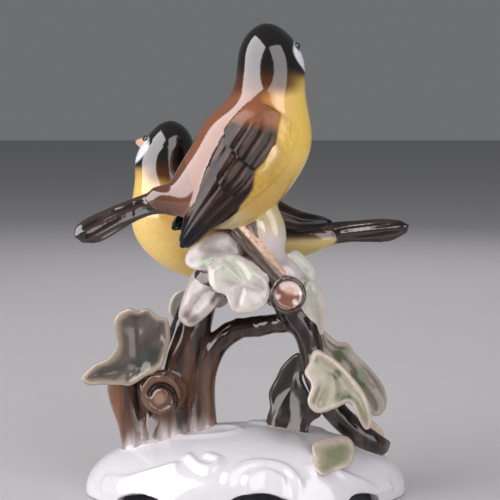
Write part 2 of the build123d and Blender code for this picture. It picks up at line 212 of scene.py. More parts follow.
# Each hand-formed leaf: its outline and its veins as shares of its CAD box in x and z, how far
# its rim rolls towards the side that shows, and its colours.
LEAVES = {
    "leaf_left": dict(
        outline=((0.0, 0.15), (0.14, 0.30), (0.28, 0.37), (0.38, 0.52), (0.37, 0.70), (0.36, 0.84),
                 (0.42, 0.94), (0.54, 1.0), (0.64, 0.97), (0.75, 1.0), (0.85, 0.9), (0.96, 0.86),
                 (0.99, 0.64), (0.95, 0.45), (0.88, 0.25), (0.72, 0.15), (0.55, 0.04),
                 (0.42, 0.05), (0.24, 0.05), (0.08, 0.05)),
        veins=(((0.7, 0.1), (0.62, 0.45), (0.6, 0.85)), ((0.65, 0.3), (0.4, 0.25), (0.12, 0.15)),
               ((0.62, 0.5), (0.78, 0.62), (0.92, 0.72))),
        roll=1.7, side=-1, centre=(94, 85, 78), rim=(186, 170, 152), vein=(64, 60, 55),
        tint=(60, 64, 58), tint_at=((0.78, 0.32, 0.22),), rim_width=2.2),
    "leaf_drooping": dict(
        outline=((0.62, 0.80), (0.30, 0.92), (0.10, 0.62), (-0.04, 0.25), (-0.02, 0.08),
                 (0.2, -0.02), (0.47, 0.13), (0.80, 0.42), (0.95, 0.60), (0.80, 0.80)),
        veins=(((0.7, 0.7), (0.35, 0.4), (0.08, 0.1)),),
        roll=0.8, side=-1, centre=(182, 174, 168), rim=(196, 186, 180), vein=(130, 118, 110),
        tint=(112, 98, 88), tint_at=((0.18, 0.08, 0.22), (0.75, 0.5, 0.15)), rim_width=1.4),
    "leaf_centre": dict(
        outline=((0.08, 0.80), (0.18, 0.88), (0.27, 1.0), (0.46, 1.02), (0.67, 0.90), (0.82, 0.74),
                 (0.92, 0.62), (0.92, 0.25), (0.84, 0.10), (0.62, 0.0), (0.45, 0.02), (0.37, 0.16),
                 (0.32, 0.32), (0.18, 0.38), (0.08, 0.56)),
        veins=(((0.88, 0.42), (0.6, 0.5), (0.3, 0.62)), ((0.62, 0.5), (0.5, 0.75), (0.42, 0.9)),
               ((0.55, 0.5), (0.5, 0.3), (0.46, 0.12))),
        roll=0.9, side=-1, centre=(206, 200, 192), rim=(212, 202, 196), vein=(138, 124, 114),
        tint=(196, 200, 184), tint_at=((0.35, 0.8, 0.22), (0.62, 0.66, 0.14)), rim_width=1.4,
        puff=1.5),
    "leaf_under_wing": dict(
        outline=((0.30, 0.74), (0.55, 1.0), (0.85, 1.0), (1.1, 0.70), (1.05, 0.40), (0.75, 0.14),
                 (0.38, -0.06), (0.12, -0.02), (0.0, 0.18), (0.08, 0.50)),
        veins=(((0.85, 0.6), (0.5, 0.5), (0.15, 0.22)),),
        roll=0.9, side=-1, centre=(198, 190, 186), rim=(212, 204, 200), vein=(140, 128, 122),
        tint=(156, 168, 142), tint_at=((0.45, 0.12, 0.2),), rim_width=1.2),
    "leaf_right_top": dict(
        outline=((0.05, 0.95), (0.28, 0.88), (0.45, 0.95), (0.62, 0.86), (0.82, 0.64), (0.96, 0.42),
                 (0.9, 0.15), (0.75, 0.03), (0.5, 0.2), (0.22, 0.45)),
        veins=(((0.2, 0.8), (0.5, 0.55), (0.8, 0.2)),),
        roll=0.8, side=-1, centre=(205, 206, 196), rim=(222, 220, 208), vein=(168, 166, 154),
        tint=(150, 164, 142), tint_at=((0.72, 0.14, 0.2),), rim_width=1.2),
    "leaf_right_mid": dict(
        outline=((0.2, 0.96), (0.5, 1.0), (0.78, 0.84), (0.98, 0.62), (1.0, 0.3), (0.84, 0.03),
                 (0.6, 0.05), (0.35, 0.3), (0.05, 0.55)),
        veins=(((0.4, 0.9), (0.65, 0.5), (0.75, 0.12)),),
        roll=0.6, side=-1, centre=(206, 200, 190), rim=(218, 210, 200), vein=(172, 164, 150),
        tint=(190, 192, 178), tint_at=((0.4, 0.8, 0.3),), rim_width=1.0),
    "leaf_right_front": dict(
        outline=((0.14, 1.0), (0.05, 0.86), (-0.02, 0.74), (0.08, 0.60), (0.02, 0.40), (0.12, 0.27),
                 (0.28, 0.26), (0.50, 0.32), (0.68, 0.36), (0.80, 0.17), (0.92, 0.01), (1.01, 0.05),
                 (1.01, 0.22), (0.91, 0.47), (0.72, 0.68), (0.50, 0.87), (0.28, 0.98)),
        veins=(((0.2, 0.9), (0.55, 0.6), (0.93, 0.12)), ((0.42, 0.7), (0.25, 0.55), (0.1, 0.38)),
               ((0.6, 0.55), (0.55, 0.45), (0.52, 0.36))),
        roll=1.3, side=-1, centre=(164, 160, 138), rim=(212, 194, 184), vein=(132, 130, 108),
        tint=(84, 94, 64), tint_at=((0.58, 0.42, 0.12), (0.48, 0.72, 0.07)), rim_width=1.8),
    "leaf_right_rear": dict(
        outline=((0.10, 1.0), (0.30, 0.87), (0.46, 0.83), (0.58, 0.70), (0.78, 0.53), (0.94, 0.35),
                 (1.0, 0.18), (0.95, 0.04), (0.81, 0.0), (0.65, 0.15), (0.42, 0.41), (0.12, 0.66),
                 (0.03, 0.84)),
        veins=(((0.15, 0.92), (0.5, 0.6), (0.88, 0.12)),),
        roll=1.0, side=-1, centre=(134, 122, 110), rim=(198, 184, 174), vein=(100, 94, 80),
        tint=(82, 90, 64), tint_at=((0.36, 0.72, 0.12), (0.62, 0.46, 0.14)), rim_width=1.2),
    "leaf_arch_inner": dict(
        outline=((0.56, 1.0), (0.28, 0.84), (0.16, 0.68), (0.02, 0.48), (0.04, 0.30), (-0.02, 0.12),
                 (0.14, -0.12), (0.60, -0.14), (0.80, 0.14), (1.0, 0.26), (0.78, 0.5), (0.64, 0.69),
                 (0.70, 0.84)),
        veins=(((0.55, 0.9), (0.45, 0.5), (0.4, 0.05)), ((0.48, 0.6), (0.3, 0.5), (0.1, 0.42))),
        # painted shade: this leaf is painted dark brown to near black for the shade inside the arch
        # opening
        roll=0.9, side=-1, centre=(56, 48, 44), rim=(92, 82, 78), vein=(30, 28, 25),
        tint=(34, 34, 29), tint_at=((0.5, 0.55, 0.3),), rim_width=1.2),
    "base_leaf": dict(
        outline=((0.02, 0.86), (0.34, 1.0), (0.76, 1.0), (0.92, 0.66), (0.80, 0.22), (0.46, 0.06),
                 (0.24, -0.04), (0.06, 0.14), (0.04, 0.42)),
        veins=(((0.75, 0.8), (0.45, 0.5), (0.2, 0.1)),),
        roll=0.2, side=-1, centre=(150, 146, 122), rim=(200, 186, 174), vein=(118, 120, 96),
        tint=(120, 124, 98), tint_at=((0.5, 0.6, 0.25),), rim_width=1.8),
    "leaf_rear": dict(
        outline=((0.35, 1.0), (0.62, 0.96), (0.85, 0.9), (0.95, 0.72), (0.85, 0.55), (0.98, 0.38),
                 (0.82, 0.2), (0.6, 0.14), (0.48, 0.0), (0.32, 0.12), (0.1, 0.2), (0.02, 0.4),
                 (0.14, 0.55), (0.02, 0.72), (0.12, 0.92)),
        veins=(((0.45, 0.95), (0.48, 0.5), (0.46, 0.08)), ((0.48, 0.6), (0.75, 0.7), (0.85, 0.75)),
               ((0.48, 0.45), (0.25, 0.5), (0.1, 0.45))),
        roll=1.1, side=1, centre=(206, 204, 190), rim=(224, 214, 204), vein=(156, 150, 136),
        tint=(150, 166, 130), tint_at=((0.4, 0.4, 0.3),), rim_width=1.5),
}
LEAF_HALF_THICK = 1.05
LEAF_ROOM_BELOW, LEAF_ROOM_ABOVE = (2.0, 3.0, 4.0), (2.0, 3.0, 2.0)    # beyond the CAD box


def node_points(node):
    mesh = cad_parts[node].data
    co = np.empty(len(mesh.vertices) * 3, np.float32)
    mesh.vertices.foreach_get("co", co)
    return co.reshape(-1, 3).astype(float) * MM


class Leaf:
    """A lobed leaf laid along the middle surface of its CAD blade."""

    def __init__(self, node, spec):
        self.spec = spec
        self.low, self.size = LOW[node][[0, 2]], (HIGH[node] - LOW[node])[[0, 2]]
        self.outline = closed_curve([self.low + np.array(uv) * self.size for uv in spec["outline"]])
        self.veins = [[self.low + np.array(uv) * self.size for uv in vein]
                      for vein in spec["veins"]]
        co = node_points(node)
        self.fit = np.linalg.lstsq(self.terms(co[:, (0, 2)]), co[:, 1], rcond=None)[0]

    def terms(self, xz):
        u = np.clip((xz - self.low) / self.size, -0.05, 1.05)
        x, z = u[:, 0], u[:, 1]
        return np.stack((np.ones(len(x)), x, z, x * x, x * z, z * z), axis=1)

    def vein_distance(self, xz):
        return np.min([line_distance(xz, vein) for vein in self.veins], axis=0)

    def surface(self, xz, edge):
        """The y of the middle surface; edge is the distance to the outline, negative inside."""
        side, roll = self.spec["side"], self.spec["roll"]
        p = np.stack((xz[:, 0], np.zeros(len(xz)), xz[:, 1]), axis=1)
        away = 1 - np.exp(-(self.vein_distance(xz) / 2.6) ** 2)
        puff = self.spec.get("puff", 0.9) * away * smooth(0.5, 3.0, -edge)
        wave = 0.7 * noise(p, 6.0, 11) * smooth(6.0, 0.0, -edge) + 0.35 * noise(p, 4.5, 12)
        curl = roll * np.exp(-((edge + 0.3) / 1.7) ** 2)
        return self.terms(xz) @ self.fit + side * (puff + curl + wave)

    def distance(self, p_x, p_y, p_z):
        """Signed distance on a grid given by its three coordinate lists."""
        gx, gz = np.meshgrid(p_x, p_z, indexing="ij")
        xz = np.stack((gx.ravel(), gz.ravel()), axis=1)
        edge = outline_distance(xz, self.outline)
        height = self.surface(xz, edge).reshape(gx.shape)
        slope_x, slope_z = np.gradient(height, p_x, p_z)
        lean = 1 / np.sqrt(1 + slope_x ** 2 + slope_z ** 2)
        edge = edge.reshape(gx.shape)[:, None, :]
        off = np.abs(p_y[None, :, None] - height[:, None, :]) * lean[:, None, :]
        r = LEAF_HALF_THICK
        a, b = edge + r, off
        return np.sqrt(np.maximum(a, 0) ** 2 + b ** 2) - r

    def paint(self, p):
        spec = self.spec
        xz = p[:, (0, 2)]
        edge = outline_distance(xz, self.outline)
        vein = self.vein_distance(xz)
        soft = 0.8 * noise(p, 2.5, 21)
        colour = flat(p, srgb(*spec["centre"]))
        colour = colour * (1 + 0.10 * noise(p, 5.0, 22)[:, None])
        colour = mix(colour, srgb(*spec["vein"]), 0.5 * np.exp(-(vein / 1.3) ** 2))
        for fx, fz, radius in spec["tint_at"]:
            centre = self.low + np.array((fx, fz)) * self.size
            r = np.linalg.norm(xz - centre, axis=1) / (radius * self.size.max())
            tinted = 0.9 * (1 - smooth(0.5, 1.15, r + 0.15 * soft))
            colour = mix(colour, srgb(*spec["tint"]), tinted)
        width = spec["rim_width"] * (1 + 0.35 * noise(p, 7.0, 23))
        rim = 1 - smooth(0.2 * width, 1.4 * width, -edge + 0.35 * soft)
        rim *= 0.75 + 0.25 * noise(p, 9.0, 24)
        return mix(colour, srgb(*spec["rim"]), rim)


LEAF_SHAPES = {node: Leaf(node, spec) for node, spec in LEAVES.items()}

# Where clay is added: shares of the node's box, and the radii of the lump in mm.
FILLS = {
    "trunk": (((0.06, 0.45, 0.24), (5, 5, 13)), ((0.12, 0.5, 0.03), (9, 8, 9))),
    "upper_body": (((0.765, 0.085, 0.375), (1.9, 1.6, 2.2)),
                   ((0.742, 0.075, 0.345), (1.7, 1.5, 1.8)),
                   ((0.715, 0.065, 0.315), (1.8, 1.5, 2.0)),
                   ((0.70, 0.065, 0.28), (1.6, 1.4, 1.9))),
    "perch_crown": (((0.2, 0.25, 0.2), (8, 6, 7)),),
}

# ---------------------------------------------------------------- the birds' own coordinates

BIRDS = {
    "upper": dict(
        axis=((0.74, 1.0), (0.752, 0.833), (0.73, 0.61), (0.582, 0.32), (0.32, 0.126),
              (0.0, 0.145)),
        widths=(4, 11.1, 13.6, 18.1, 12.4, 2.2), back=-1,
        head=(0.751, 0.70, 0.84), beak_turn=55.0, head_size=1.0,
        eyes=((0.916, 0.61, 0.888), (0.655, 0.905, 0.888)),
        breast=(238, 194, 124), belly=(202, 164, 78), edge=(242, 206, 100), vent=(204, 190, 148),
        back_colour=(132, 82, 56), rump_colour=(72, 50, 42), rump_lift=0.9,
        cap=(20, 17, 16), ochre=(176, 114, 42)),
    "lower": dict(
        axis=((0.163, 1.0), (0.162, 0.82), (0.19, 0.55), (0.37, 0.30), (0.63, 0.25), (1.0, 0.29)),
        widths=(3.5, 10.6, 14.2, 19.7, 13.8, 2.0), back=1,
        head=(0.161, 0.625, 0.83), beak_turn=135.0, head_size=0.94,
        eyes=((0.065, 0.39, 0.896), (0.25, 0.87, 0.896)),
        breast=(228, 184, 98), belly=(206, 172, 84), edge=(236, 200, 112), vent=(206, 184, 120),
        back_colour=(96, 66, 52), rump_colour=(72, 50, 42), rump_lift=0.0,
        cap=(24, 20, 18), ochre=(196, 140, 60)),
}
for bird, spec in BIRDS.items():
    body = bird + "_body"
    spec["line"] = [at(body, fx, 0.5, fz)[[0, 2]] for fx, fz in spec["axis"]]
    spec["head_at"] = at(body, *spec["head"])
    spec["eye_at"] = [at(body, *eye) for eye in spec["eyes"]]
EYE_RADIUS = 1.25
EYE_INSET = 0.55         # how far the middle of an eye lies inside the head


def bird_paint(p, bird):
    spec = BIRDS[bird]
    share, left = along_axis(p, spec["line"], spec["widths"])
    soft = noise(p, 4.0, 31)
    rump = smooth(0.58, 0.78, share)
    back = left * spec["back"] + spec["rump_lift"] * rump
    colour = mix(flat(p, srgb(*spec["breast"])), srgb(*spec["belly"]), smooth(0.26, 0.56, share))
    colour = mix(colour, srgb(*spec["edge"]),
                 smooth(0.35, 0.9, -back) * (1 - smooth(0.40, 0.62, share)))
    colour = mix(colour, srgb(*spec["vent"]), smooth(0.62, 0.80, share + 0.02 * soft))
    colour = mix(colour, srgb(*spec["ochre"]),
                 0.85 * smooth(-0.30, 0.0, back + 0.05 * soft) * (1 - smooth(0.55, 0.7, share)))
    colour = mix(colour, srgb(*spec["back_colour"]), smooth(-0.02, 0.26, back + 0.05 * soft))
    colour = mix(colour, srgb(*spec["rump_colour"]),
                 0.7 * smooth(0.7, 0.98, share) * smooth(-0.1, 0.3, back))
    # the head, in coordinates turned to the beak
    size = spec["head_size"]
    rel = (p - spec["head_at"]) / size
    turn = np.degrees(np.arctan2(rel[:, 1], rel[:, 0])) - spec["beak_turn"]
    turn = np.abs((turn + 180) % 360 - 180)
    height = rel[:, 2]
    nape = smooth(75, 130, turn)
    edge = -8.2 - 1.8 * nape + 0.5 * soft
    colour = mix(colour, srgb(84, 46, 20),
                 smooth(edge - 4.5, edge + 0.5, height) * (0.35 + 0.65 * nape))
    colour = mix(colour, srgb(*spec["cap"]), smooth(edge - 0.5, edge + 2.5 + 5.0 * nape, height))
    slant = height - 0.045 * (turn - 70)
    cheek = ((turn - 62) / 38) ** 2 + ((slant + 0.6) / 4.8) ** 2
    colour = mix(colour, srgb(236, 238, 244), 1 - smooth(0.75, 1.1, cheek + 0.06 * soft))
    for eye in spec["eye_at"]:
        r = np.linalg.norm(p - eye, axis=1)
        # painted highlight: a pale ring round each eye stands for the glint on its rim
        colour = mix(colour, srgb(170, 186, 200), smooth(2.3, 1.9, r))
        colour = mix(colour, srgb(6, 6, 8), smooth(1.75, 1.4, r))
    # painted highlight: the lumps pressed on at the front edge of the upper wing are painted cream
    # where light catches them
    for share_at, radii in FILLS.get(bird + "_body", ()):
        lump = blob(p, at(bird + "_body", *share_at), np.array(radii) * 1.5)
        colour = mix(colour, srgb(228, 196, 156), 0.85 * lump)
    return colour


# ---------------------------------------------------------------- wings and tails

FEATHERED = {
    "upper_wing_right": dict(
        line=((0.80, 1.0), (0.70, 0.77), (0.48, 0.50), (0.20, 0.22), (0.0, 0.0)),
        widths=(9.5, 11.2, 10.4, 6.0, 2.6)),
    "upper_wing_left": dict(
        line=((0.84, 1.0), (0.72, 0.77), (0.50, 0.46), (0.22, 0.18), (0.0, 0.0)),
        widths=(9.5, 11.2, 10.4, 6.0, 2.6)),
    "lower_wing_left": dict(
        line=((0.06, 0.92), (0.24, 0.58), (0.42, 0.40), (0.78, 0.19), (1.0, 0.2)),
        widths=(8, 9.2, 8.8, 4.4, 2.2)),
    "lower_wing_right": dict(
        line=((0.08, 0.92), (0.24, 0.58), (0.42, 0.40), (0.78, 0.22), (1.0, 0.24)),
        widths=(8, 9.2, 8.8, 4.4, 2.2)),
}
TAILS = {
    "upper_tail": dict(line=((1.0, 0.86), (0.70, 0.74), (0.42, 0.56), (0.0, 0.12)),
                       widths=(5.2, 4.4, 4.4, 4.6)),
    "lower_tail": dict(line=((0.0, 0.3), (0.3, 0.5), (0.6, 0.62), (1.0, 0.78)),
                       widths=(4.6, 4.2, 4.4, 3.6)),
}
for name, spec in {**FEATHERED, **TAILS}.items():
    spec["path"] = [at(name, fx, 0.5, fz)[[0, 2]] for fx, fz in spec["line"]]
SHOULDER = 0.15          # where the feathers begin along a wing
ROWS = (0.38, 0.57)      # where the two rows of coverts end along a wing
ROW_FEATHERS = 3.0       # feathers across half a wing
PRIMARIES = 2.4          # and across half its tip
TAIL_FEATHERS = 1.7      # feathers across half a tail
FEATHER_RISE = 0.32      # from the edge of a feather to its ridge
ROW_STEP = 0.40          # from the root of a row of coverts to its end


def feather_pattern(p, node):
    """(place along, place across, ridge 0-1, place within its row 0-1, row number)"""
    spec = FEATHERED[node]
    share, side = along_axis(p, spec["path"], spec["widths"])
    bend = share + 0.07 * side ** 2 + 0.012 * noise(p, 3.0, 41)
    row = (bend > ROWS[0]).astype(int) + (bend > ROWS[1])
    starts, ends = np.array((SHOULDER, *ROWS)), np.array((*ROWS, 1.05))
    within = np.clip((bend - starts[row]) / (ends[row] - starts[row]), 0, 1)
    count = np.where(row == 2, PRIMARIES, ROW_FEATHERS)
    phase = side * count + np.where(row == 1, 0.5, 0.0) + 0.35 * share
    ridge = 0.5 + 0.5 * np.cos(2 * np.pi * phase)
    return share, side, ridge, within, row


def flank(share, side, node):
    """1 where the body's flank feathers lie over the front edge of an upper wing."""
    if not node.startswith("upper"):
        return np.zeros(len(share))
    edge = np.interp(share, (0.1, 0.27, 0.38, 0.48, 0.58, 0.70),
                     (0.35, 0.48, 0.38, 0.66, 0.80, 1.2))
    return smooth(edge - 0.06, edge + 0.06, side)


def wing_relief(p, node):
    share, side, ridge, within, row = feather_pattern(p, node)
    step = np.where(row < 2, ROW_STEP * within - 0.15, 0.0)
    feathers = -(step + FEATHER_RISE * (ridge ** 0.7 - 0.5))
    feathers = feathers * smooth(SHOULDER - 0.05, SHOULDER + 0.04, share)
    cover = flank(share, side, node)
    return feathers * (1 - cover) + 0.4 * cover


def wing_paint(p, node):
    share, side, ridge, within, row = feather_pattern(p, node)
    dark, mid = srgb(34, 25, 21), srgb(96, 68, 52)
    shade = ridge ** 4 * smooth(0.0, 0.25, within) * (1 - smooth(0.5, 0.9, within))
    shade = np.where(row == 2, ridge ** 4 * 0.5 * (1 - smooth(0.3, 0.85, within)), 0.9 * shade)
    colour = mix(flat(p, dark), mid, np.clip(shade + 0.10 * noise(p, 2.0, 42), 0, 1))
    colour = mix(colour, srgb(12, 17, 24), smooth(0.76, 0.92, share))
    lower_edge = side * (1 if node.startswith("upper") else -1)
    colour = mix(colour, srgb(20, 19, 15),
                 0.8 * smooth(0.55, 0.9, lower_edge) * smooth(0.3, 0.45, share))
    if node.startswith("upper"):
        bird = BIRDS["upper"]
        shoulder = mix(flat(p, srgb(*bird["back_colour"])), srgb(*bird["ochre"]),
                       smooth(-0.1, 0.7, lower_edge))
        colour = mix(shoulder, colour,
                     smooth(SHOULDER - 0.05, SHOULDER + 0.03, share + 0.04 * lower_edge))
        colour = mix(colour, bird_paint(p, "upper"), flank(share, side, node))
    else:
        colour = mix(colour, srgb(78, 58, 48), 0.7 * (1 - smooth(0.1, 0.4, share)))
    return colour


def tail_relief(p, node):
    share, side = along_axis(p, TAILS[node]["path"], TAILS[node]["widths"])
    return -0.14 * np.cos(2 * np.pi * side * TAIL_FEATHERS) * smooth(0.12, 0.3, share)


def tail_paint(p, node):
    share, side = along_axis(p, TAILS[node]["path"], TAILS[node]["widths"])
    groove = 0.5 + 0.5 * np.cos(2 * np.pi * side * TAIL_FEATHERS)
    colour = mix(flat(p, srgb(30, 23, 21)), srgb(70, 52, 45), 0.8 * groove)
    colour = mix(colour, srgb(14, 18, 26), smooth(0.84, 0.97, share))
    bird = bird_paint(p, node.split("_")[0])
    return mix(bird, colour, smooth(0.06, 0.2, share))


# ---------------------------------------------------------------- the tree

WOODY = ("trunk", "arch_branch", "left_stub", "fall_branch", "perch_crown", "crown_bridge",
         "rear_limb", "perch_twig", "cut_stub")


def bark_relief(p, node):
    q = p + 1.2 * noise(p, 9.0, 51)[:, None]
    ridges = noise(q, (2.6, 2.6, 22.0), 52)
    return (0.12 if node in ("perch_twig", "cut_stub") else 0.30) * ridges


GROUND = HIGH["base_shell"][2]
STEM_TOP = LOW["trunk_knot"][2]
CROWN = LOW["perch_crown"][2]


def bark_paint(p):
    streak = noise(p, (1.6, 1.6, 16.0), 61)
    broad = noise(p, (4.0, 4.0, 24.0), 62)
    z = p[:, 2]
    colour = mix(flat(p, srgb(92, 64, 48)), srgb(42, 29, 23), smooth(-0.4, 0.6, streak))
    colour = mix(colour, srgb(132, 98, 76), 0.5 * smooth(0.15, 0.8, broad))
    high = smooth(STEM_TOP + 10, CROWN - 6, z + 3 * broad)
    colour = mix(colour, srgb(24, 18, 16), 0.9 * high)
    ginger = 1 - smooth(LOW["left_stub"][0] + 3, LOW["left_stub"][0] + 8, p[:, 0])
    colour = mix(colour, srgb(134, 84, 54), 0.6 * ginger)
    inner = smooth(-34, -20, p[:, 0])
    ragged = 3.0 * streak + 2.0 * broad + 3.0 * ginger - 3.0 * inner
    fade = 1 - smooth(GROUND - 10, GROUND + 2, z + ragged)
    return mix(colour, srgb(222, 214, 212), fade)


def fall_paint(p):
    streak = noise(p, (1.4, 1.4, 9.0), 63)
    colour = mix(flat(p, srgb(62, 50, 45)), srgb(26, 20, 18), smooth(-0.4, 0.5, streak))
    ends = smooth(HIGH["fall_branch"][0] - 3.0, HIGH["fall_branch"][0] - 0.5, p[:, 0])
    return mix(colour, srgb(120, 108, 100), 0.6 * ends)


def crown_paint(p):
    streak = noise(p, (1.6, 1.6, 9.0), 64)
    colour = mix(flat(p, srgb(118, 102, 90)), srgb(62, 50, 44), smooth(-0.4, 0.6, streak))
    low = 1 - smooth(CROWN + 1, CROWN + 12, p[:, 2])
    return mix(colour, srgb(26, 20, 18), low)


def twig_paint(p):
    path = [at("perch_twig", 0.05, 0.5, 0.95)[[0, 2]], at("perch_twig", 0.95, 0.5, 0.05)[[0, 2]]]
    share, side = along_axis(p, path, (2.8, 2.8))
    wave = noise(p, (1.2, 1.2, 5.0), 65)
    line = smooth(0.0, 1.0, 0.5 + 0.5 * np.sin(side * 9 + 1.5 * wave))
    colour = mix(flat(p, srgb(72, 58, 50)), srgb(124, 106, 92), 0.6 * line)
    speckle = smooth(0.1, 0.5, noise(p, 0.9, 66))
    return mix(colour, mix(flat(p, srgb(232, 196, 168)), srgb(186, 140, 112), 0.6 * speckle),
               smooth(0.40, 0.75, side))


CUT_CENTRE = at("cut_stub", 0.52, 0.0, 0.54)
CUT_RADIUS = 4.6


def cut_paint(p):
    rel = p - CUT_CENTRE
    r = np.hypot(rel[:, 0], rel[:, 2]) / CUT_RADIUS
    streak = noise(p, (1.2, 8, 1.2), 67)
    bark = mix(flat(p, srgb(108, 88, 76)), srgb(52, 40, 34), smooth(-0.4, 0.5, streak))
    bark = mix(bark, srgb(40, 30, 28), 0.85 * np.exp(-((r - 1.08) / 0.10) ** 2))
    wood = flat(p, srgb(224, 206, 200))
    rust = smooth(0.0, 0.45, noise(p, 1.8, 68) - 0.13 * rel[:, 2] - 0.09 * rel[:, 0])
    wood = mix(wood, srgb(118, 62, 42), 0.9 * rust)
    wood = mix(wood, srgb(206, 146, 118), 0.5 * blob(p, CUT_CENTRE + (0.5, 1, 1.2), (2.2, 4, 1.8)))
    face = smooth(1.02, 0.94, r) * smooth(3.0, 2.2, rel[:, 1])
    return mix(bark, wood, face)


KNOT_EYE = at("trunk_knot", 0.42, 0.0, 0.40)    # middle of the scroll


def knot_swirl(p):
    """How deep a point lies in the scroll groove of the knot, 0 to 1.

    The groove opens at the left, runs over the top and fades out low on the right."""
    rel = p - KNOT_EYE
    r = np.hypot(rel[:, 0], rel[:, 2])
    turned = (180 - np.degrees(np.arctan2(rel[:, 2], rel[:, 0]))) % 360
    spiral = 3.5 + 0.0105 * turned
    run = smooth(0, 25, turned) * (1 - smooth(235, 275, turned))
    return np.exp(-((r - spiral) / (0.7 + 0.3 * run)) ** 2) * run * smooth(8.0, 5.0, rel[:, 1])


def knot_paint(p):
    colour = mix(bark_paint(p), srgb(112, 82, 64), 0.5)
    rel = p - KNOT_EYE
    r = np.hypot(rel[:, 0], rel[:, 2])
    # painted highlight: the middle of the knot is painted lighter, as if lit
    colour = mix(colour, srgb(156, 128, 112), 0.6 * smooth(2.8, 1.2, r))
    # painted shade: the scroll groove of the knot is painted near black
    return mix(colour, srgb(32, 24, 22), 0.92 * smooth(0.2, 0.8, knot_swirl(p)))


# ---------------------------------------------------------------- the base

def base_point(fx, fy):
    return at("base_shell", fx, fy, 0)[:2]


SCROLL_WIDTH, SCROLL_HEIGHT = 1.5, 0.9
# Moulded scroll ridges on the front shoulder of the base, each a bent line in plan. The back
# shoulder has the same ones, turned half round.
SCROLLS = tuple(open_curve([base_point(*uv) for uv in line]) for line in (
    ((0.07, 0.30), (0.14, 0.20), (0.22, 0.15), (0.29, 0.14)),
    ((0.33, 0.18), (0.36, 0.12), (0.40, 0.10), (0.42, 0.14), (0.39, 0.17)),
    ((0.45, 0.06), (0.50, 0.11), (0.56, 0.12), (0.62, 0.10), (0.66, 0.05)),
    ((0.51, 0.05), (0.56, 0.075), (0.61, 0.05)),
    ((0.70, 0.12), (0.76, 0.15), (0.82, 0.16), (0.90, 0.22), (0.95, 0.31)),
    ((0.26, 0.42), (0.34, 0.36), (0.44, 0.36), (0.48, 0.42), (0.44, 0.47), (0.38, 0.45)),
))


def base_relief(p, node):
    raised = np.zeros(len(p))
    for line in SCROLLS:
        for places in (p[:, :2], -p[:, :2]):
            near = np.exp(-(line_distance(places, line) / SCROLL_WIDTH) ** 2)
            raised = np.maximum(raised, near)
    return -SCROLL_HEIGHT * raised * smooth(2.0, 5.0, p[:, 2])


def base_paint(p):
    colour = flat(p, srgb(224, 224, 228))
    # painted shade: a soft grey-brown patch on the white base round the foot of the leaf in the
    # arch, where the leaf shades it
    shade_at = at("leaf_arch_inner", 0.6, 0.4, 0.0)
    painted_shade = blob(p, shade_at + (4, -4, -4), (26, 17, 12)) * (0.75 + 0.25 * noise(p, 6.0, 71))
    colour = mix(colour, srgb(150, 138, 136), 0.55 * painted_shade)
    stems = blob(p, at("trunk", 0.3, 0.5, 0.0) * (1, 1, 0) + (3, 0, GROUND - 5), (20, 15, 9))
    return mix(colour, srgb(196, 178, 168), 0.35 * stems * smooth(GROUND - 9, GROUND, p[:, 2]))


# ---------------------------------------------------------------- which piece gets what

SLOT_OF = {"base_shell": "white_porcelain", "cut_stub": "cut_wood", "fall_branch": "dark_branch",
           "upper_leg_right": "white_limb", "upper_leg_left": "white_limb",
           "lower_legs": "white_limb",
           "upper_beak": "beak_glaze", "lower_beak": "beak_glaze",
           "upper_body": "bird_glaze", "lower_body": "bird_glaze"}


def slot_of(node):
    if node in SLOT_OF:
        return SLOT_OF[node]
    for word, name in (("leaf", "leaf_glaze"), ("wing", "wing_glaze"), ("tail", "tail_glaze")):
        if word in node:
            return name
    return "bark"


def relief(p, node):
    """What is added to the distance from a piece's CAD surface: less than zero stands proud."""
    if node in FEATHERED:
        return wing_relief(p, node)
    if node in TAILS:
        return tail_relief(p, node)
    if node in WOODY:
        return bark_relief(p, node)
    if node == "trunk_knot":
        return 1.5 * knot_swirl(p) + 0.15 * noise(p, (2.5, 2.5, 12), 53)
    if node == "base_shell":
        return base_relief(p, node)
    return None


def limb_paint(p):
    shade = smooth(-0.3, 0.8, noise(p, 4.0, 72))
    colour = mix(flat(p, srgb(208, 198, 198)), srgb(172, 158, 156), 0.6 * shade)
    thigh = HIGH["upper_leg_right"][2]
    return mix(colour, srgb(*BIRDS["upper"]["vent"]), smooth(thigh - 13, thigh - 4, p[:, 2]))


def paint(p, node):
    if node in LEAF_SHAPES:
        return LEAF_SHAPES[node].paint(p)
    if node.endswith("_body"):
        return bird_paint(p, node.split("_")[0])
    if node in FEATHERED:
        return wing_paint(p, node)
    if node in TAILS:
        return tail_paint(p, node)
    if node.endswith("_beak"):
        return flat(p, srgb(58, 48, 44) if node == "upper_beak" else srgb(226, 178, 150))
    if "leg" in node:
        return limb_paint(p)
    return {"base_shell": base_paint, "cut_stub": cut_paint, "fall_branch": fall_paint,
            "perch_crown": crown_paint, "crown_bridge": crown_paint, "perch_twig": twig_paint,
            "trunk_knot": knot_paint, "leaf_branch_tip": lambda q: flat(q, srgb(206, 186, 170)),
            }.get(node, bark_paint)(p)


# ---------------------------------------------------------------- sculpting

MARGIN = 5.0
ORIGIN = WHOLE_LOW - MARGIN
CELLS = np.ceil((WHOLE_HIGH + MARGIN - ORIGIN) / VOXEL).astype(int)
FAR = BAND * VOXEL


def crop_of(low, high):
    """Cell ranges that hold a box and its band."""
    start = np.maximum(np.floor((low - ORIGIN) / VOXEL).astype(int) - BAND - 1, 0)
    stop = np.minimum(np.ceil((high - ORIGIN) / VOXEL).astype(int) + BAND + 1, CELLS)
    return start, stop


def cells(start, stop):
    return tuple(slice(a, b) for a, b in zip(start, stop))


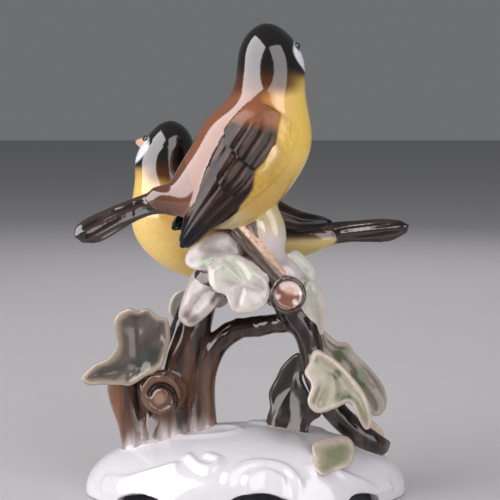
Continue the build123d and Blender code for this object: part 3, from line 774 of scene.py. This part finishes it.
def cad_distance(node, start, stop):
    """Signed distance in mm to a CAD piece, on the cells of a crop."""
    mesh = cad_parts[node].data
    mesh.calc_loop_triangles()
    corners = np.empty(len(mesh.loop_triangles) * 3, np.int32)
    mesh.loop_triangles.foreach_get("vertices", corners)
    points = ((node_points(node) - ORIGIN) / VOXEL).astype(np.float32)
    grid = openvdb.FloatGrid.createLevelSetFromPolygons(
        points, triangles=corners.reshape(-1, 3).astype(np.uint32),
        transform=openvdb.createLinearTransform(1.0), halfWidth=float(BAND))
    values = np.empty(tuple(stop - start), np.float32)
    grid.copyToArray(values, ijk=tuple(int(v) for v in start))
    return values * VOXEL


def cell_places(start, index):
    return ORIGIN + (start + np.stack(index, axis=1)) * VOXEL


def piece_distance(node):
    leaf = LEAF_SHAPES.get(node)
    if leaf is not None:
        low, high = LOW[node] - LEAF_ROOM_BELOW, HIGH[node] + LEAF_ROOM_ABOVE
        start, stop = crop_of(low, high)
        axes = [ORIGIN[k] + np.arange(start[k], stop[k]) * VOXEL for k in range(3)]
        return start, stop, np.clip(leaf.distance(*axes), -FAR, FAR).astype(np.float32)
    start, stop = crop_of(LOW[node] - 1, HIGH[node] + 1)
    values = cad_distance(node, start, stop)
    index = np.nonzero(np.abs(values) < RELIEF_REACH)
    added = relief(cell_places(start, index), node)
    if added is not None:
        values[index] += added
    if node.endswith("_body"):
        add_face(values, start, BIRDS[node.split("_")[0]])
    add_fills(values, start, node)
    return start, stop, values


def add_face(values, start, spec):
    """Small round eyes that stand a little proud of the head."""
    index = np.nonzero(np.abs(values) < FAR * 0.98)
    places = cell_places(start, index)
    for eye in spec["eye_at"]:
        inward = spec["head_at"] - eye
        inward[2] = 0
        centre = eye + EYE_INSET * inward / np.linalg.norm(inward)
        r = np.linalg.norm(places - centre, axis=1) - EYE_RADIUS
        values[index] = np.minimum(values[index], r)


def add_fills(values, start, node):
    """Clay pressed on by hand: soft lumps that fill gaps and swell a piece."""
    for share, radii in FILLS.get(node, ()):
        centre, radii = at(node, *share), np.array(radii, float)
        rel = (cell_places(start, np.indices(values.shape).reshape(3, -1)) - centre) / radii
        lump = (np.linalg.norm(rel, axis=1) - 1) * radii.min()
        lump = np.clip(lump, -FAR, FAR).reshape(values.shape).astype(np.float32)
        values[:] = smooth_min(values, lump, CLAY_BLEND)


def smooth_min(a, b, k):
    near = np.maximum(k - np.abs(a - b), 0)
    return np.minimum(a, b) - near * near / (4 * k)


skin = np.full(tuple(CELLS), FAR, np.float32)
first = np.full(tuple(CELLS), FAR, np.float32)
second = np.full(tuple(CELLS), FAR, np.float32)
owner = np.full(tuple(CELLS), -1, np.int8)
crops = {}
for number, node in enumerate(NODES):
    start, stop, values = piece_distance(node)
    crops[node] = (start, stop)
    here = cells(start, stop)
    skin[here] = smooth_min(skin[here], values, FILLET)
    ahead = values < first[here]
    second[here] = np.where(ahead, first[here], np.minimum(second[here], values))
    first[here] = np.where(ahead, values, first[here])
    owner[here] = np.where(ahead, number, owner[here])


def piece_mesh(number, node):
    start, stop, values = piece_distance(node)
    here = cells(start, stop)
    other = np.where(owner[here] == number, second[here], first[here])
    part = np.maximum(skin[here], (values - other) / 2 - SEAM_OVERLAP)
    part[0], part[-1], part[:, 0], part[:, -1], part[:, :, 0], part[:, :, -1] = [FAR] * 6
    grid = openvdb.FloatGrid(FAR / VOXEL)
    grid.copyFromArray(np.clip(part, -FAR, FAR) / VOXEL)
    points, quads = grid.convertToQuads(0.0)
    return ORIGIN + (start + points.astype(float)) * VOXEL, quads[:, ::-1]


# ---------------------------------------------------------------- glazes

def glaze(name, grain, stretch, depth, ripple, wax=0.0, rough=(0.05, 0.16), coat=0.35, ior=1.6):
    """Painted porcelain under a clear glaze.

    grain is the scale of the brushwork, stretch its length in z and depth how far it shades.
    ripple is how uneven the glaze lies, wax how far light sinks in, and rough the range of its
    roughness; coat and ior set how strongly it mirrors."""
    material = bpy.data.materials.new(name)
    material.use_nodes = True
    tree = material.node_tree
    shader = tree.nodes["Principled BSDF"]
    colour = tree.nodes.new("ShaderNodeVertexColor")
    colour.layer_name = "paint"
    where = tree.nodes.new("ShaderNodeTexCoord")
    mapping = tree.nodes.new("ShaderNodeMapping")
    mapping.inputs["Scale"].default_value = (1.0, 1.0, 1.0 / stretch)
    brush = tree.nodes.new("ShaderNodeTexNoise")
    brush.inputs["Scale"].default_value = grain
    brush.inputs["Detail"].default_value = 5.0
    brush.inputs["Roughness"].default_value = 0.6
    levels = tree.nodes.new("ShaderNodeMapRange")
    levels.inputs["From Min"].default_value = 0.3
    levels.inputs["From Max"].default_value = 0.7
    levels.inputs["To Min"].default_value = 1.0 - depth
    levels.inputs["To Max"].default_value = 1.0 + depth
    shade = tree.nodes.new("ShaderNodeVectorMath")
    shade.operation = "SCALE"
    flow = tree.nodes.new("ShaderNodeTexNoise")
    flow.inputs["Scale"].default_value = 130.0
    flow.inputs["Detail"].default_value = 2.0
    gloss = tree.nodes.new("ShaderNodeMapRange")
    gloss.inputs["To Min"].default_value = rough[0]
    gloss.inputs["To Max"].default_value = rough[1]
    bump = tree.nodes.new("ShaderNodeBump")
    bump.inputs["Strength"].default_value = ripple
    bump.inputs["Distance"].default_value = 0.0006
    link = tree.links.new
    link(where.outputs["Object"], mapping.inputs["Vector"])
    link(mapping.outputs["Vector"], brush.inputs["Vector"])
    link(where.outputs["Object"], flow.inputs["Vector"])
    link(brush.outputs["Fac"], levels.inputs["Value"])
    link(colour.outputs["Color"], shade.inputs[0])
    link(levels.outputs["Result"], shade.inputs["Scale"])
    link(shade.outputs["Vector"], shader.inputs["Base Color"])
    link(flow.outputs["Fac"], gloss.inputs["Value"])
    link(gloss.outputs["Result"], shader.inputs["Roughness"])
    link(flow.outputs["Fac"], bump.inputs["Height"])
    link(bump.outputs["Normal"], shader.inputs["Normal"])
    shader.inputs["IOR"].default_value = ior
    shader.inputs["Coat Weight"].default_value = coat
    shader.inputs["Coat Roughness"].default_value = 0.02
    if wax:
        shader.inputs["Subsurface Weight"].default_value = wax
        shader.inputs["Subsurface Radius"].default_value = (1.0, 0.9, 0.8)
        shader.inputs["Subsurface Scale"].default_value = 0.0015
    return material


WOOD = dict(ripple=0.15, rough=(0.07, 0.18), coat=0.25, ior=1.5)
GLAZES = {
    "white_porcelain": glaze("white_porcelain", 260, 1.0, 0.03, ripple=0.10, wax=0.25),
    "bark": glaze("bark", 900, 8.0, 0.22, **WOOD),
    "dark_branch": glaze("dark_branch", 900, 5.0, 0.22, **WOOD),
    "cut_wood": glaze("cut_wood", 1400, 1.0, 0.14, ripple=0.15),
    "white_limb": glaze("white_limb", 500, 1.5, 0.05, ripple=0.10, wax=0.2),
    "leaf_glaze": glaze("leaf_glaze", 700, 1.0, 0.10, ripple=0.12, wax=0.1, rough=(0.12, 0.24),
                        coat=0.20, ior=1.45),
    "bird_glaze": glaze("bird_glaze", 1100, 2.5, 0.06, ripple=0.06, wax=0.05),
    "wing_glaze": glaze("wing_glaze", 1300, 3.0, 0.20, ripple=0.08, rough=(0.14, 0.24),
                        coat=0.06, ior=1.32),
    "tail_glaze": glaze("tail_glaze", 1300, 1.0, 0.18, ripple=0.06),
    "beak_glaze": glaze("beak_glaze", 1600, 1.0, 0.12, ripple=0.06),
}

# ---------------------------------------------------------------- the pieces

for number, node in enumerate(NODES):
    points, quads = piece_mesh(number, node)
    mesh = bpy.data.meshes.new(node + "_glazed")
    mesh.from_pydata((points / MM).tolist(), [], quads.tolist())
    mesh.polygons.foreach_set("use_smooth", [True] * len(mesh.polygons))
    colours = np.ones((len(points), 4), np.float32)
    colours[:, :3] = np.clip(paint(points, node), 0, 1)
    layer = mesh.color_attributes.new("paint", "FLOAT_COLOR", "POINT")
    layer.data.foreach_set("color", colours.ravel())
    slot = slot_of(node)
    mesh.materials.append(GLAZES[slot])
    piece = bpy.data.objects.new(node + "_glazed", mesh)
    bpy.context.scene.collection.objects.link(piece)
    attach(piece, "root")
    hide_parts(node)

# ---------------------------------------------------------------- stage, light, camera

def plain_material(name, colour, roughness):
    material = bpy.data.materials.new(name)
    material.use_nodes = True
    shader = material.node_tree.nodes["Principled BSDF"]
    shader.inputs["Base Color"].default_value = (*colour, 1)
    shader.inputs["Roughness"].default_value = roughness
    return material


bpy.ops.mesh.primitive_plane_add(size=6.0, location=(0, 0, cad_low.z - 0.0002))
floor = bpy.context.object
floor.name = "floor"
floor.data.materials.append(plain_material("floor", (0.46, 0.46, 0.47), 0.7))
floor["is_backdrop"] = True

AIM = Vector((0.0016, 0.0, 0.08364))    # what the camera and every lamp point at
LAMP_COLOUR = (1.0, 0.95, 0.97)
SKY_COLOUR, SKY_STRENGTH = (0.9, 0.92, 0.95, 1), 0.17


def softbox(name, place, width, height, power, diffuse=True, reflected=True):
    """A lamp that the camera doesn't see; it may light surfaces, show in the glaze, or both."""
    light = bpy.data.lights.new(name, "AREA")
    light.shape = "RECTANGLE"
    light.size, light.size_y = width, height
    light.energy = power
    light.color = LAMP_COLOUR
    lamp = bpy.data.objects.new(name, light)
    lamp.location = place
    lamp.rotation_mode = "QUATERNION"
    lamp.rotation_quaternion = (AIM - Vector(place)).to_track_quat("-Z", "Y")
    lamp.visible_camera = False
    lamp.visible_diffuse = diffuse
    lamp.visible_glossy = reflected
    bpy.context.scene.collection.objects.link(lamp)


# Two tall softboxes stand left and right of the camera. Each is a lamp that lights the
# figurine and a larger one that only shows as the broad highlight on the glaze.
# The fills show in no highlight.
LEFT, RIGHT = Vector((-0.86, -0.36, 0.45)), Vector((0.54, -0.82, 0.45))
HIGHER = Vector((0.0, 0.0, 0.1))    # the face of each softbox is centred above its lamp
softbox("softbox_left", LEFT, 1.0, 1.1, 12.5, reflected=False)
softbox("softbox_left_face", LEFT + HIGHER, 1.25, 1.7, 38.0, diffuse=False)
softbox("softbox_right", RIGHT, 0.8, 1.1, 7.0, reflected=False)
softbox("softbox_right_face", RIGHT + HIGHER, 0.85, 1.6, 12.5, diffuse=False)
softbox("fill_top", (0.0, 0.1, 0.85), 0.5, 0.5, 1.8, reflected=False)
softbox("fill_back", (0.15, 0.75, 0.5), 0.5, 0.4, 1.6, reflected=False)

world = bpy.data.worlds.new("studio")
world.use_nodes = True
sky = world.node_tree.nodes["Background"]
sky.inputs["Color"].default_value = SKY_COLOUR
sky.inputs["Strength"].default_value = SKY_STRENGTH
bpy.context.scene.world = world
bpy.context.scene.view_settings.view_transform = "Standard"

CAMERA_DISTANCE = 0.578
CAMERA_ELEVATION = math.radians(6)
camera_data = bpy.data.cameras.new("camera")
camera_data.lens = 122.4
camera_data.clip_start, camera_data.clip_end = 0.01, 20
camera = bpy.data.objects.new("camera", camera_data)
away = Vector((0, -math.cos(CAMERA_ELEVATION), math.sin(CAMERA_ELEVATION)))
camera.location = AIM + away * CAMERA_DISTANCE
camera.rotation_mode = "QUATERNION"
camera.rotation_quaternion = (-away).to_track_quat("-Z", "Y")
bpy.context.scene.collection.objects.link(camera)
bpy.context.scene.camera = camera

low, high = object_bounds()
